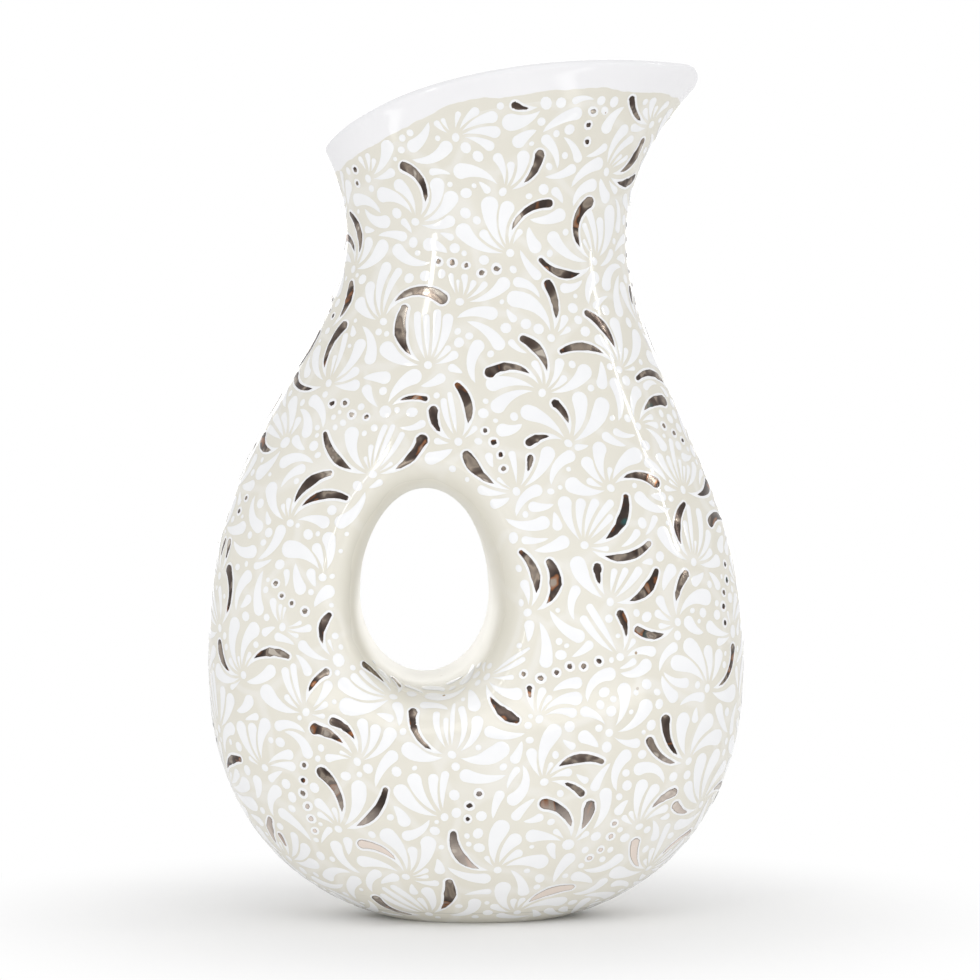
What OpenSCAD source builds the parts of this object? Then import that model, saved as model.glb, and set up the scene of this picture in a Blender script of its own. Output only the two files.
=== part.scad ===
// Jug with a pierced body: a flattened pear-shaped vessel, an oval finger hole
// straight through its belly, and a slanted mouth with a beaked pouring lip.
// The pot is made as moulded and cut clay pieces that meet at flat luted joints.
// Millimetres, +Z up, +X towards the pouring lip, -Y the front. The origin is on
// the table, under the middle of the belly.

/* [Body] */
// Width of the belly, side to side
belly_w = 188; // [160:1:230]
// Depth of the belly, front to back
belly_d = 118; // [100:1:150]
// Height of the belly's widest level
belly_z = 90; // [80:1:102]
// Fullness of the bowl under the belly, where 2 is an ellipse
bowl_power = 2.3; // [2:0.05:2.8]
// How late the shoulder draws in on the side of the pouring lip, and at front and back
lip_shoulder = 1.2; // [1:0.05:1.5]
// How late the shoulder draws in on the side of the finger hole
hole_shoulder = 1.4; // [1:0.05:1.6]
// Thickness of the moulded halves, the liner and the neck
wall = 6; // [4:0.5:8]

/* [Neck and mouth] */
// Height of the joint between the moulded halves and the neck
neck_joint_z = 202; // [190:1:215]
// Width of the neck at its waist
neck_w = 99; // [85:1:115]
// Depth of the neck at its waist
neck_d = 76; // [64:1:92]
// Height of the waist
neck_z = 237; // [228:1:244]
// Shift of the waist towards the pouring lip
neck_shift = 3.5; // [0:0.5:8]
// Radius of the flare from the waist up to the mouth, in the front view
flare_r = 57; // [50:1:100]
// Depth of the mouth half-way between its two ends
mouth_d = 96; // [88:1:116]
// Height of the mouth above the finger hole
mouth_back_z = 269; // [262:1:280]
// Height of the mouth at the pouring lip
mouth_lip_z = 296; // [285:1:310]
// Rise of the mouth's two long sides above a straight slanted cut
mouth_crown = 9; // [0:0.5:12]
// Drop of the mouth's edge at the very tip of the pouring lip, which rounds the beak
lip_drop = 4; // [0:0.5:5]
// Share of its depth that the mouth loses towards the pouring lip
lip_pinch = 0.25; // [0:0.05:0.4]
// Height of the white rim
rim_h = 13; // [9:0.5:18]

/* [Finger hole] */
// Width of the finger hole
hole_w = 45.5; // [34:0.5:56]
// Height of the top of the finger hole
hole_top_z = 150; // [140:0.5:158]
// Height of the bottom of the finger hole
hole_bottom_z = 84; // [72:0.5:94]
// Height at which the hole is widest
hole_wide_z = 112; // [104:1:120]
// Place of the hole across the belly
hole_x = -18; // [-24:1:-8]
// Width of the roll from the belly's face into the hole, as the front view shows it
roll_w = 14; // [11:0.5:18]
// Length of the straight liner, where the rolls of the two halves end
liner_l = 54; // [36:1:66]

/* [Foot] */
// Width of the foot where it stands
foot_w = 64; // [56:1:90]
// Depth of the foot where it stands
foot_d = 46; // [38:1:64]
// Height of the foot ring
foot_h = 4; // [3:0.5:6]
// Width of the ring that touches the table
foot_ring_w = 7; // [4:0.5:10]
// Thickness of the slab that closes the bottom
base_t = 6; // [4:0.5:9]

/* [Hidden] */

cream = [0.86, 0.84, 0.77];
white = [0.95, 0.95, 0.95];
clay = [0.78, 0.58, 0.45];

base_z = foot_h + base_t;

// Facets: along half of the neck joint, down each side, along half of the base joint
neck_steps = 20;
side_steps = 16;
base_steps = 14;
// Facets: round the roll, from the roll to the outline, up the neck, up the rim, over the lip
roll_steps = 6;
face_steps = 9;
neck_rings = 9;
rim_rings = 2;
lip_steps = 6;
// Above 1 this gathers the side facets near the foot, where the outline turns under
side_gather = 1.35;
// Cosine of the turn from the pouring lip at which its tip begins to drop
lip_tip = 0.88;

function ease(t) = t * t * (3 - 2 * t);

// Height of the bowl's full curve, which the table cuts off at the foot's edge
function bowl_depth(foot, belly) =
    belly_z / pow(1 - pow(foot / belly, bowl_power), 1 / bowl_power);

// The outline seen in three directions: half of the foot, belly and waist, how late the
// shoulder draws in, and how fast the flare opens above the waist
lip_side = [foot_w / 2, belly_w / 2, neck_w / 2 + neck_shift, lip_shoulder, 1 / (2 * flare_r)];
hole_side = [foot_w / 2, belly_w / 2, neck_w / 2 - neck_shift, hole_shoulder, 1 / (2 * flare_r)];
front_back = [foot_d / 2, belly_d / 2, neck_d / 2, lip_shoulder,
    (mouth_d - neck_d) / 2 / pow(mouth_z(90) - neck_z, 2)];

// How far the skin reaches from the centre line at height z: a bowl up to the belly,
// a drawn-in shoulder up to the waist, then the flare. The inset is measured into the clay.
function reach(z, outline, inset) =
    let (foot = outline[0], belly = outline[1], waist = outline[2])
    z < belly_z
    ? (belly - inset) * pow(max(0, 1 - pow((belly_z - z) / (bowl_depth(foot, belly) - inset),
        bowl_power)), 1 / bowl_power)
    : z < neck_z
    ? waist - inset + (belly - waist)
        * (1 - ease(pow((z - belly_z) / (neck_z - belly_z), outline[3])))
    : waist - inset + outline[4] * pow(z - neck_z, 2);

function right_x(z, inset) = reach(z, lip_side, inset);
function left_x(z, inset) = -reach(z, hole_side, inset);
function middle_x(z, inset) = (right_x(z, inset) + left_x(z, inset)) / 2;
function half_width(z, inset) = (right_x(z, inset) - left_x(z, inset)) / 2;
function half_depth(z, inset) = reach(z, front_back, inset);

// The beak: above the waist the section narrows towards the pouring lip
function narrowing(z, turn) =
    1 - lip_pinch * max(0, (z - neck_z) / (mouth_lip_z - neck_z)) * pow(max(0, cos(turn)), 2);

// A point of the oval section at height z, turned from the pouring lip
function level_point(z, turn, inset) = [
    middle_x(z, inset) + half_width(z, inset) * cos(turn),
    half_depth(z, inset) * sin(turn) * narrowing(z, turn),
    z
];
function level_ring(z, steps, inset) =
    [for (i = [0 : steps - 1]) level_point(z, 360 * i / steps, inset)];

// Depth of the front face at a place in the front view
function face_y(x, z, inset) = -half_depth(z, inset)
    * sqrt(max(0, 1 - pow((x - middle_x(z, inset)) / half_width(z, inset), 2)));

// Height of the mouth's edge, turned from the pouring lip
function mouth_z(turn) = (mouth_lip_z + mouth_back_z) / 2
    + (mouth_lip_z - mouth_back_z) / 2 * cos(turn) + mouth_crown * pow(sin(turn), 2)
    - lip_drop * pow(max(0, cos(turn) - lip_tip) / (1 - lip_tip), 2);

// A closed solid through rings of equal count, each ring joined to the next and the last
// to the first. Rings that run the other way round are turned inside out.
module ring_solid(rings, inside_out = false) {
    count = len(rings[0]);
    total = len(rings);
    triangles = [
        for (r = [0 : total - 1], c = [0 : count - 1])
            let (
                d = (c + 1) % count,
                s = (r + 1) % total,
                a = r * count + c,
                b = r * count + d,
                e = s * count + d,
                f = s * count + c
            )
            each [[a, b, e], [a, e, f]]
    ];
    polyhedron(
        points = [for (ring = rings) each ring],
        faces = inside_out ? triangles : [for (t = triangles) [t[2], t[1], t[0]]]
    );
}

// A closed solid through level rings from the lowest up, with a flat face at each end
module stacked_solid(rings) {
    count = len(rings[0]);
    top = (len(rings) - 1) * count;
    polyhedron(
        points = [for (ring = rings) each ring],
        faces = concat(
            [[for (c = [0 : count - 1]) c]],
            [for (r = [0 : len(rings) - 2], c = [0 : count - 1])
                let (d = (c + 1) % count, a = r * count + c, b = r * count + d)
                each [[a, a + count, b + count], [a, b + count, b]]],
            [[for (c = [count - 1 : -1 : 0]) top + c]]
        )
    );
}

// The edge of the front half, anticlockwise as the front view shows it: along the neck
// joint, down the side by the hole, along the base joint and up the side under the lip
function half_edge(inset) = concat(
    [for (i = [0 : neck_steps - 1]) level_point(neck_joint_z, 360 - 180 * i / neck_steps, inset)],
    [for (i = [0 : side_steps - 1]) let (z = side_level(side_steps - i)) [left_x(z, inset), 0, z]],
    [for (i = [0 : base_steps - 1]) level_point(base_z, 180 + 180 * i / base_steps, inset)],
    [for (i = [0 : side_steps - 1]) let (z = side_level(i)) [right_x(z, inset), 0, z]]
);
function side_level(i) =
    base_z + (neck_joint_z - base_z) * pow(i / side_steps, side_gather);

hole_middle = [hole_x, hole_wide_z];

// Unit direction in the front view from the hole's middle towards an edge point
function way_out(edge) = let (d = [edge.x, edge.z] - hole_middle) d / norm(d);

// The egg-shaped hole's radius along a direction: two half ovals that meet where it is widest
function hole_radius(way, inset) = 1 / norm([
    way[0] / (hole_w / 2 + inset),
    way[1] / (inset + (way[1] > 0 ? hole_top_z - hole_wide_z : hole_wide_z - hole_bottom_z))
]);
function from_hole(way, distance) = hole_middle + way * distance;

// One ring of the liner's skin, at depth y
function hole_ring(y, inset) = [
    for (edge = half_edge(0))
        let (way = way_out(edge), p = from_hole(way, hole_radius(way, inset)))
        [p[0], y, p[1]]
];

// One ring of the roll, an oval bend where 90 degrees is the liner's end and 0 is the face
function roll_ring(angle, inset) = [
    for (edge = half_edge(0))
        let (
            way = way_out(edge),
            throat = from_hole(way, hole_radius(way, inset)),
            deep = -liner_l / 2 - face_y(throat[0], throat[1], inset),
            p = throat + way * (roll_w - inset) * (1 - sin(angle))
        )
        [p[0], face_y(p[0], p[1], inset) + deep * (1 - cos(angle)), p[1]]
];

// One ring of the face, at a share of the way from the roll to the edge
function face_ring(share, inset) = [
    for (k = [0 : len(half_edge(0)) - 1])
        let (
            edge = half_edge(inset)[k],
            way = way_out(half_edge(0)[k]),
            start = from_hole(way, hole_radius(way, inset) + roll_w - inset),
            p = start + ([edge.x, edge.z] - start) * share
        )
        share == 1 ? edge : [p[0], face_y(p[0], p[1], inset), p[1]]
];

// The front half's rings on one skin, from the liner out to the edge
function shell_rings(inset) = concat(
    [hole_ring(-liner_l / 2, inset)],
    [for (i = [1 : roll_steps]) roll_ring(90 - 90 * i / roll_steps, inset)],
    [for (i = [1 : face_steps]) face_ring(i == face_steps ? 1 : sin(90 * i / face_steps), inset)]
);
function backwards(list) = [for (i = [len(list) - 1 : -1 : 0]) list[i]];

// Moulded half of the body: the face, its roll into the hole and its share of the outline
module front_half() {
    ring_solid(concat(shell_rings(0), backwards(shell_rings(wall))), inside_out = true);
}

module front_shell() {
    color(cream) front_half();
}

module back_shell() {
    color(cream) mirror([0, 1, 0]) front_half();
}

// Oval tube that lines the finger hole between the two halves
module hole_liner() {
    color(cream) ring_solid([
        hole_ring(-liner_l / 2, 0), hole_ring(0, 0), hole_ring(liner_l / 2, 0),
        hole_ring(liner_l / 2, wall), hole_ring(0, wall), hole_ring(-liner_l / 2, wall)
    ]);
}

// A ring of the neck or rim, at a share of the height from the neck joint to the rim's joint
function neck_ring(share, inset) = [
    for (i = [0 : 2 * neck_steps - 1])
        let (turn = 180 * i / neck_steps, top = mouth_z(turn) - rim_h)
        level_point(neck_joint_z + (top - neck_joint_z) * share, turn, inset)
];

// Waisted collar from the shoulder up to the rim
module neck_collar() {
    color(cream) ring_solid(concat(
        [for (i = [0 : neck_rings]) neck_ring(i / neck_rings, 0)],
        [for (i = [neck_rings : -1 : 0]) neck_ring(i / neck_rings, wall)]
    ));
}

// A ring of the rim, at a height above the rim's joint
function rim_ring(rise, inset) = [
    for (i = [0 : 2 * neck_steps - 1])
        let (turn = 180 * i / neck_steps)
        level_point(mouth_z(turn) - rim_h + rise, turn, inset)
];

// Rim of the slanted mouth with the pouring lip, rounded over its edge
module mouth_rim() {
    lip_r = wall / 2;
    straight = rim_h - lip_r;
    color(white) ring_solid(concat(
        [rim_ring(0, 0)],
        [for (i = [0 : rim_rings]) rim_ring(straight * i / rim_rings, wall)],
        [for (i = [1 : lip_steps - 1]) let (a = 180 * i / lip_steps)
            rim_ring(straight + lip_r * sin(a), lip_r + lip_r * cos(a))],
        [for (i = [rim_rings : -1 : 1]) rim_ring(straight * i / rim_rings, 0)]
    ), inside_out = true);
}

// Slab that closes the bottom, shaped outside to the bowl's curve
module base_slab() {
    color(cream) stacked_solid([
        for (z = [foot_h, (foot_h + base_z) / 2, base_z]) level_ring(z, 2 * base_steps, 0)
    ]);
}

// Bare ring that the jug stands on
module foot_ring() {
    inner = [for (i = [0 : 2 * base_steps - 1]) let (turn = 180 * i / base_steps)
        [(foot_w / 2 - foot_ring_w) * cos(turn), (foot_d / 2 - foot_ring_w) * sin(turn)]];
    color(clay) ring_solid(concat(
        [for (z = [0, foot_h / 2, foot_h]) level_ring(z, 2 * base_steps, 0)],
        [for (z = [foot_h, 0]) [for (p = inner) [p[0], p[1], z]]]
    ));
}

foot_ring();
base_slab();
front_shell();
back_shell();
hole_liner();
neck_collar();
mouth_rim();
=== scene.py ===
import math
import random

import bpy
import numpy as np
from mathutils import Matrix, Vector
from mathutils.bvhtree import BVHTree


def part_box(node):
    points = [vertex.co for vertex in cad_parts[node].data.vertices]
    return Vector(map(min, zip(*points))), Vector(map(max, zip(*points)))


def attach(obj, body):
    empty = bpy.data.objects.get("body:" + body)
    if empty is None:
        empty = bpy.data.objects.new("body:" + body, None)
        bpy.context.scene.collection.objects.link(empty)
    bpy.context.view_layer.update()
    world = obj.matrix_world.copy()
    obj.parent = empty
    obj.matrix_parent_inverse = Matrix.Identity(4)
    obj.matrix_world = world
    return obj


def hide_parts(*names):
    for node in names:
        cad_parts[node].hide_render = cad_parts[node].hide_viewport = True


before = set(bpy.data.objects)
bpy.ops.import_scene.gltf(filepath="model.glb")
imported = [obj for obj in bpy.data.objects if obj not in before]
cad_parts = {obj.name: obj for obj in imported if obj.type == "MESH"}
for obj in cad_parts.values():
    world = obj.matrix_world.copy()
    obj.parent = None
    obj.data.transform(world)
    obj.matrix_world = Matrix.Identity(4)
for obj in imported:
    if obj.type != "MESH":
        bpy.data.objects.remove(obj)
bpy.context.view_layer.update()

# The jug's sizes in metres, the same as in the part's source
BELLY_W = 0.188
BELLY_D = 0.118
BELLY_Z = 0.090
BOWL_POWER = 2.3
LIP_SHOULDER = 1.2
HOLE_SHOULDER = 1.4
WALL = 0.006
NECK_JOINT_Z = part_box("neck_collar")[0].z
NECK_W = 0.099
NECK_D = 0.076
NECK_Z = 0.237
NECK_SHIFT = 0.0035
FLARE_R = 0.057
MOUTH_D = 0.096
MOUTH_BACK_Z = 0.269
MOUTH_LIP_Z = 0.296
MOUTH_CROWN = 0.009
LIP_DROP = 0.004
LIP_TIP = 0.88
LIP_PINCH = 0.25
RIM_H = 0.013
HOLE_W = 0.0455
HOLE_TOP_Z = 0.150
HOLE_BOTTOM_Z = 0.084
HOLE_WIDE_Z = 0.112
HOLE_UP = HOLE_TOP_Z - HOLE_WIDE_Z
HOLE_DOWN = HOLE_WIDE_Z - HOLE_BOTTOM_Z
HOLE_X = -0.018
ROLL_W = 0.014
LINER_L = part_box("hole_liner")[1].y * 2
FOOT_W = 0.064
FOOT_D = 0.046
FOOT_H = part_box("foot_ring")[1].z
FOOT_RING_W = 0.007
BASE_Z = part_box("base_slab")[1].z

# The glaze lies this far inside the solids, to leave room for the raised strokes
SKIN = 0.00025

# How finely the glazed pieces are divided: columns round them, then rings along their skins
NECK_COLUMNS = 80
SIDE_COLUMNS = 56
BASE_COLUMNS = 48
SIDE_GATHER = 1.35
ROLL_STEPS = 18
FACE_STEPS = 32
INNER_ROLL_STEPS = 8
INNER_FACE_STEPS = 16
LINER_STEPS = 8
NECK_STEPS = 36
INNER_NECK_STEPS = 18
RIM_STEPS = 6
LIP_STEPS = 12
BASE_STEPS = 10
FOOT_STEPS = 12
UNDERSIDE_SHARES = (0, 0.4, 0.75)
INSIDE_SHARES = (0.8, 0.4, 0)
THROAT_HAZE_AND_LIGHT_STEPS = ROLL_STEPS + 2
SEWN = 1e-6
GLAZE_CREASE = math.radians(40)


def ease(t):
    return t * t * (3 - 2 * t)


def mouth_z(turn):
    """Height of the mouth's edge, turned from the pouring lip."""
    middle = (MOUTH_LIP_Z + MOUTH_BACK_Z) / 2
    slant = (MOUTH_LIP_Z - MOUTH_BACK_Z) / 2
    drop = LIP_DROP * (np.maximum(0, np.cos(turn) - LIP_TIP) / (1 - LIP_TIP)) ** 2
    return middle + slant * np.cos(turn) + MOUTH_CROWN * np.sin(turn) ** 2 - drop


SIDE_FLARE = 1 / (2 * FLARE_R)
DEPTH_FLARE = (MOUTH_D - NECK_D) / 2 / (mouth_z(math.pi / 2) - NECK_Z) ** 2
# Half of the foot, belly and waist, how late the shoulder draws in, how fast the flare opens
LIP_SIDE = (FOOT_W / 2, BELLY_W / 2, NECK_W / 2 + NECK_SHIFT, LIP_SHOULDER, SIDE_FLARE)
HOLE_SIDE = (FOOT_W / 2, BELLY_W / 2, NECK_W / 2 - NECK_SHIFT, HOLE_SHOULDER, SIDE_FLARE)
FRONT_BACK = (FOOT_D / 2, BELLY_D / 2, NECK_D / 2, LIP_SHOULDER, DEPTH_FLARE)


def reach(z, outline, inset):
    """How far the skin reaches from the centre line at height z."""
    foot, belly, waist, shoulder, flare = outline
    bowl_depth = BELLY_Z / (1 - (foot / belly) ** BOWL_POWER) ** (1 / BOWL_POWER) - inset
    below = np.clip((BELLY_Z - z) / bowl_depth, 0, 1)
    bowl = (belly - inset) * (1 - below ** BOWL_POWER) ** (1 / BOWL_POWER)
    rise = np.clip((z - BELLY_Z) / (NECK_Z - BELLY_Z), 0, 1)
    drawn_in = waist - inset + (belly - waist) * (1 - ease(rise ** shoulder))
    flared = waist - inset + flare * np.maximum(0, z - NECK_Z) ** 2
    return np.where(z < BELLY_Z, bowl, np.where(z < NECK_Z, drawn_in, flared))


def level_oval(z, inset):
    """Middle, half width and half depth of the level section at height z."""
    right = reach(z, LIP_SIDE, inset)
    left = reach(z, HOLE_SIDE, inset)
    return (right - left) / 2, (right + left) / 2, reach(z, FRONT_BACK, inset)


def level_ring(z, turn, inset):
    middle, width, depth = level_oval(z, inset)
    above_waist = np.maximum(0, (z - NECK_Z) / (MOUTH_LIP_Z - NECK_Z))
    narrowing = 1 - LIP_PINCH * above_waist * np.maximum(0, np.cos(turn)) ** 2
    x = middle + width * np.cos(turn)
    y = depth * np.sin(turn) * narrowing
    return np.stack([x, y, z + 0 * turn], -1)


def face_y(x, z, inset):
    middle, width, depth = level_oval(z, inset)
    return -depth * np.sqrt(np.maximum(0, 1 - ((x - middle) / width) ** 2))


def edge_over(x, y, z):
    """Height of the mouth's edge over a place on the skin."""
    middle, width, depth = level_oval(z, SKIN)
    return float(mouth_z(math.atan2(y / depth, (x - middle) / width)))


def half_edge(inset):
    """Edge of the front half: neck joint, hole side, base joint, lip side."""
    across = np.arange(NECK_COLUMNS) / NECK_COLUMNS
    top = level_ring(np.full(NECK_COLUMNS, NECK_JOINT_Z), 2 * np.pi - np.pi * across, inset)
    share = np.arange(SIDE_COLUMNS) / SIDE_COLUMNS
    down = BASE_Z + (NECK_JOINT_Z - BASE_Z) * (1 - share) ** SIDE_GATHER
    left = np.stack([-reach(down, HOLE_SIDE, inset), 0 * down, down], -1)
    across = np.arange(BASE_COLUMNS) / BASE_COLUMNS
    bottom = level_ring(np.full(BASE_COLUMNS, BASE_Z), np.pi + np.pi * across, inset)
    up = BASE_Z + (NECK_JOINT_Z - BASE_Z) * share ** SIDE_GATHER
    right = np.stack([reach(up, LIP_SIDE, inset), 0 * up, up], -1)
    return np.concatenate([top, left, bottom, right])


HOLE_MIDDLE = np.array([HOLE_X, HOLE_WIDE_Z])
# Directions in the front view from the hole's middle to the half's edge
to_edge = half_edge(0)[:, [0, 2]] - HOLE_MIDDLE
WAYS_OUT = to_edge / np.linalg.norm(to_edge, axis=1, keepdims=True)


def hole_radius(inset):
    """How far the hole's skin lies from its middle, as a column for all ways out."""
    across, rise = WAYS_OUT.T
    height = np.where(rise > 0, HOLE_UP, HOLE_DOWN) + inset
    return (1 / np.hypot(across / (HOLE_W / 2 + inset), rise / height))[:, None]


def hole_ring(y, inset):
    p = HOLE_MIDDLE + WAYS_OUT * hole_radius(inset)
    return np.stack([p[:, 0], np.full(len(p), y), p[:, 1]], -1)


def roll_ring(angle, inset):
    """A ring of the oval bend from the face, at 0, to the liner's end, at a right angle."""
    throat = HOLE_MIDDLE + WAYS_OUT * hole_radius(inset)
    deep = -LINER_L / 2 - face_y(throat[:, 0], throat[:, 1], inset)
    p = throat + WAYS_OUT * (ROLL_W - inset) * (1 - math.sin(angle))
    y = face_y(p[:, 0], p[:, 1], inset) + deep * (1 - math.cos(angle))
    return np.stack([p[:, 0], y, p[:, 1]], -1)


def face_ring(share, inset):
    """A ring of the face between the roll, at 0, and the half's edge, at 1."""
    edge = half_edge(inset)
    if share >= 1:
        return edge
    start = HOLE_MIDDLE + WAYS_OUT * (hole_radius(inset) + ROLL_W - inset)
    p = start + (edge[:, [0, 2]] - start) * share
    return np.stack([p[:, 0], face_y(p[:, 0], p[:, 1], inset), p[:, 1]], -1)


def half_skin(inset, roll_steps, face_steps):
    """Rings of the front half on one skin, from the liner out to the edge."""
    rings = [hole_ring(-LINER_L / 2, inset)]
    for i in range(1, roll_steps + 1):
        rings.append(roll_ring(math.pi / 2 * (1 - i / roll_steps), inset))
    for i in range(1, face_steps + 1):
        rings.append(face_ring(math.sin(math.pi / 2 * i / face_steps), inset))
    return rings


def smoothed(crease, sewn=0):
    """Sew up the chosen piece, turn its faces outward and smooth all but its sharp edges."""
    bpy.ops.object.mode_set(mode="EDIT")
    bpy.ops.mesh.select_all(action="SELECT")
    if sewn:
        bpy.ops.mesh.remove_doubles(threshold=sewn)
    bpy.ops.mesh.normals_make_consistent(inside=False)
    bpy.ops.object.mode_set(mode="OBJECT")
    bpy.ops.object.shade_smooth_by_angle(angle=crease)


def wrapped_piece(name, rings, closed, inner_from, throat=0):
    """A sheet of quads wrapped through the rings and sewn up where its edges meet.
    Faces from ring inner_from on take the second material, and the first rings lie in the throat."""
    rings = list(rings) + [rings[0]] if closed else list(rings)
    columns = len(rings[0])
    last = len(rings) - 1
    grid = np.array([np.concatenate([r, r[:1]]) for r in rings])
    bpy.ops.mesh.primitive_grid_add(x_subdivisions=columns, y_subdivisions=last, size=1)
    piece = bpy.context.object
    piece.name = name
    mesh = piece.data
    mesh.name = name
    flat = np.empty(len(mesh.vertices) * 3)
    mesh.vertices.foreach_get("co", flat)
    flat = flat.reshape(-1, 3)
    column = np.rint((flat[:, 0] + 0.5) * columns).astype(int)
    ring = np.rint((flat[:, 1] + 0.5) * last).astype(int)
    mesh.vertices.foreach_set("co", grid[ring, column].ravel())
    starts = [min(ring[v] for v in p.vertices) for p in mesh.polygons]
    mesh.polygons.foreach_set("material_index", [int(start >= inner_from) for start in starts])
    if throat:
        in_throat = mesh.attributes.new("in_throat", "FLOAT", "POINT")
        from_liner = ring % last
        in_throat.data.foreach_set("value", ease(np.clip(1 - from_liner / throat, 0, 1)))
    smoothed(GLAZE_CREASE, SEWN)
    return piece


def mirrored(rings):
    return [r * np.array([1, -1, 1]) for r in rings]


# The two halves of the body and the lining of the hole
front_outer = half_skin(SKIN, ROLL_STEPS, FACE_STEPS)
front_rings = front_outer + half_skin(WALL, INNER_ROLL_STEPS, INNER_FACE_STEPS)[::-1]
half_inner = len(front_outer) - 1
front = wrapped_piece("front_half", front_rings, True, half_inner, THROAT_HAZE_AND_LIGHT_STEPS)
back = wrapped_piece("back_half", mirrored(front_rings), True, half_inner, THROAT_HAZE_AND_LIGHT_STEPS)
depths = np.linspace(-LINER_L / 2, LINER_L / 2, LINER_STEPS + 1)
liner_outer = [hole_ring(y, SKIN) for y in depths]
liner_inner = [hole_ring(y, WALL) for y in depths[::-1]]
liner = wrapped_piece("hole_lining", liner_outer + liner_inner, True, len(liner_outer) - 1)

NECK_TURNS = np.arange(2 * NECK_COLUMNS) * np.pi / NECK_COLUMNS


def neck_ring(share, inset):
    top = mouth_z(NECK_TURNS) - RIM_H
    return level_ring(NECK_JOINT_Z + (top - NECK_JOINT_Z) * share, NECK_TURNS, inset)


neck_outer = [neck_ring(i / NECK_STEPS, SKIN) for i in range(NECK_STEPS + 1)]
neck_inner = [neck_ring(i / INNER_NECK_STEPS, WALL) for i in range(INNER_NECK_STEPS, -1, -1)]
neck = wrapped_piece("neck", neck_outer + neck_inner, True, len(neck_outer) - 1)

# The rim, rounded over its edge, which ends a hair under the solid's
LIP_R = (WALL - SKIN) / 2
STRAIGHT_RIM = RIM_H - LIP_R - SKIN / 5


def rim_ring(rise, inset):
    return level_ring(mouth_z(NECK_TURNS) - RIM_H + rise, NECK_TURNS, inset)


def over_lip(angle):
    """A ring over the rim's rounded edge, from its outside, at 0, to its inside."""
    rise = STRAIGHT_RIM + LIP_R * math.sin(angle)
    return rim_ring(rise, SKIN + LIP_R - LIP_R * math.cos(angle))


rim_outer = [rim_ring(STRAIGHT_RIM * i / RIM_STEPS, SKIN) for i in range(RIM_STEPS + 1)]
lip = [over_lip(math.pi * i / LIP_STEPS) for i in range(1, LIP_STEPS)]
rim_inner = [rim_ring(STRAIGHT_RIM * i / RIM_STEPS, WALL) for i in range(RIM_STEPS, -1, -1)]
lip_top = len(rim_outer) + LIP_STEPS // 2 - 1
rim = wrapped_piece("rim", rim_outer + lip + rim_inner, True, lip_top)

BASE_TURNS = np.arange(2 * BASE_COLUMNS) * np.pi / BASE_COLUMNS


def base_ring(z, share=1.0):
    ring = level_ring(np.full(len(BASE_TURNS), z), BASE_TURNS, SKIN)
    return ring * np.array([share, share, 1])


def foot_inner(z):
    x = (FOOT_W / 2 - FOOT_RING_W) * np.cos(BASE_TURNS)
    y = (FOOT_D / 2 - FOOT_RING_W) * np.sin(BASE_TURNS)
    return np.stack([x, y, np.full(len(x), z)], -1)


# The slab that closes the bottom: its underside, its edge and its top inside the jug
slab_t = BASE_Z - FOOT_H
base_edge = [base_ring(FOOT_H + slab_t * i / BASE_STEPS) for i in range(BASE_STEPS + 1)]
base_under = [base_ring(FOOT_H, s) for s in UNDERSIDE_SHARES]
base_top = [base_ring(BASE_Z, s) for s in INSIDE_SHARES]
base_inner = len(base_under) + BASE_STEPS
base = wrapped_piece("base", base_under + base_edge + base_top, False, base_inner)

foot_outer = [base_ring(FOOT_H * i / FOOT_STEPS) for i in range(FOOT_STEPS + 1)]
foot = wrapped_piece("foot", foot_outer + [foot_inner(FOOT_H), foot_inner(0)], True, FOOT_STEPS)

for piece, node in ((front, "front_shell"), (back, "back_shell"), (liner, "hole_liner"),
                    (neck, "neck_collar"), (rim, "mouth_rim"), (base, "base_slab"), (foot, "foot_ring")):
    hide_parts(node)
    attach(piece, "root")


# The painted pattern: fans of white teardrops, dots between them, and a few strokes and rows of
# dots in platinum. It is laid out by walking over the skin in short steps.
SEED = 11
STEP = 0.0008
GAP = 0.0009
TAIL_SHARE = 2 / 3

# Where the painter stops. Round the hole a band stays bare, but below it strokes run over its edge.
RIM_BAND = 0.0100
FOOT_BARE = 0.0004
THROAT_BARE = 0.009
HOLE_BARE = 0.5 * ROLL_W
OVER_EDGE = 0.004
BELOW_FROM = 0.6
BELOW_BLEND = 0.25
LEVEL_SKIN = 0.35

# Fans: how far apart they lie, how they lean and spread in degrees, how far and how bent they grow
FAN_WIDE = 0.030
FAN_HIGH = 0.0190
FAN_ROUNDS = (1, 0.93, 0.86)
FAN_TRIES = 4000
FAN_ROOM = 0.003
FAN_CLEARANCE = 0.004
FAN_LEAN = 28
FAN_REACH = (0.0165, 0.0205)
FAN_CURL = (0.95, 1.55)
PETALS_APART = (21, 26)
EVEN_FANS = 0.35
EVEN_HALF_SPREAD = (88, 112)
SWEPT_FROM = (-55, -20)
SWEPT_SPREAD = (145, 190)
LUSTRE_COUNTS = (1, 1, 2, 2, 2)

# White petals, and how much each of them differs from its fan
PETAL_HALF = 0.0030
PETAL_START = 0.0028
PETAL_SHORTEST = 0.0042
PETAL_THINNEST = 0.0002
PETAL_FAT = (0.9, 1.0)
PETAL_LONG = (0.85, 1.05)
PETAL_OPENING = 0.5
START_CHANGE = (0.85, 1.25)
CURL_CHANGE = (0.85, 1.2)
HEADING_CHANGE = (-0.05, 0.05)
TIP_BEGINS = 0.3
TIP_STEPS = 4
CROWDED_FROM = 0.006
CROWDED_STEPS = 2

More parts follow.
